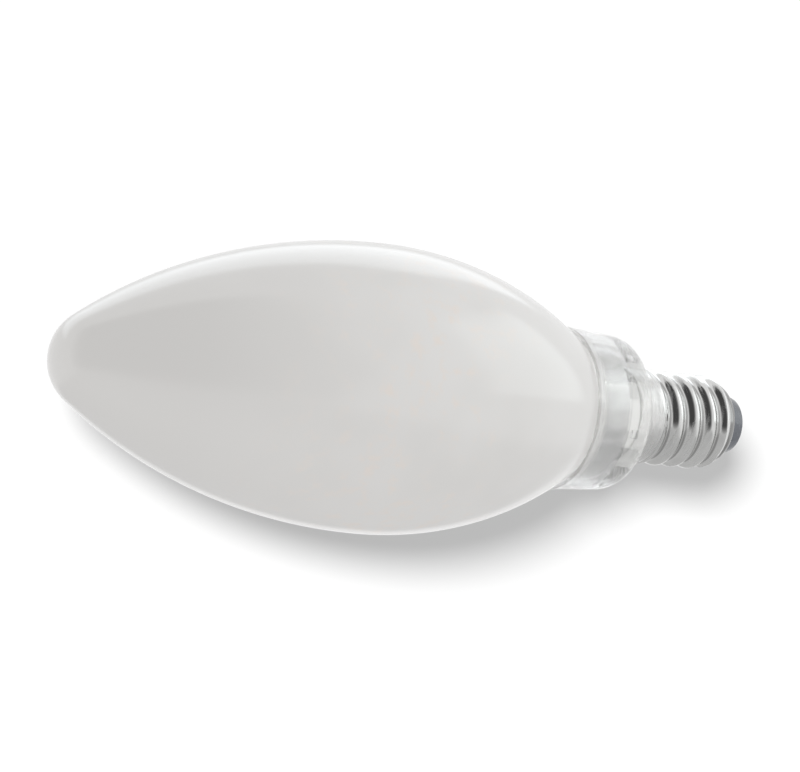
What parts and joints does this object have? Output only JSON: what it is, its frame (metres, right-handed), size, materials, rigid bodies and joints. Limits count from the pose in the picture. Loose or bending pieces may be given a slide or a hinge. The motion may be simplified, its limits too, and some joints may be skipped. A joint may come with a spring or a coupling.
{
  "type": "candle bulb",
  "caption": "Opal glass candle bulb with a blunt tip, a clear plastic collar over a satin sleeve, and a bright candelabra screw cap with a dark insulator and a centre contact.",
  "frame": {"origin": "on the lamp's axis, at the outer face of the centre contact, where the cap meets its holder", "axes": "+Z along the lamp's axis from the cap to the glass tip; +X and +Y square to it, with the driver board's faces square to X"},
  "size_m": [0.035, 0.035, 0.098],
  "materials": {
    "opal_glass": "opal white coating inside smooth glossy glass",
    "clear_bond": "clear set adhesive",
    "clear_plastic": "clear, glossy",
    "white_tube": "satin white film",
    "satin_sleeve": "satin, bare",
    "nickel_shell": "bright rolled nickel plate",
    "dark_insulator": "dark slate, smooth",
    "contact_metal": "plain stamped",
    "board_laminate": "satin laminate",
    "component_body": "moulded, matt",
    "capacitor_can": "shrunk film",
    "resistor_body": "dipped, matt",
    "tinned_wire": "tinned"
  },
  "bodies": {
    "root": {"glass_envelope": "opal_glass", "bond_ring": "clear_bond", "collar": "clear_plastic", "driver_sleeve": "satin_sleeve", "driver_tube": "white_tube", "screw_shell": "nickel_shell", "base_insulator": "dark_insulator", "centre_contact": "contact_metal", "driver_board": "board_laminate", "bridge_rectifier": "component_body", "driver_chip": "component_body", "smoothing_capacitor": "capacitor_can", "fuse_resistor": "resistor_body", "shell_lead": "tinned_wire", "stem_leads": "tinned_wire"}
  },
  "joints": []
}
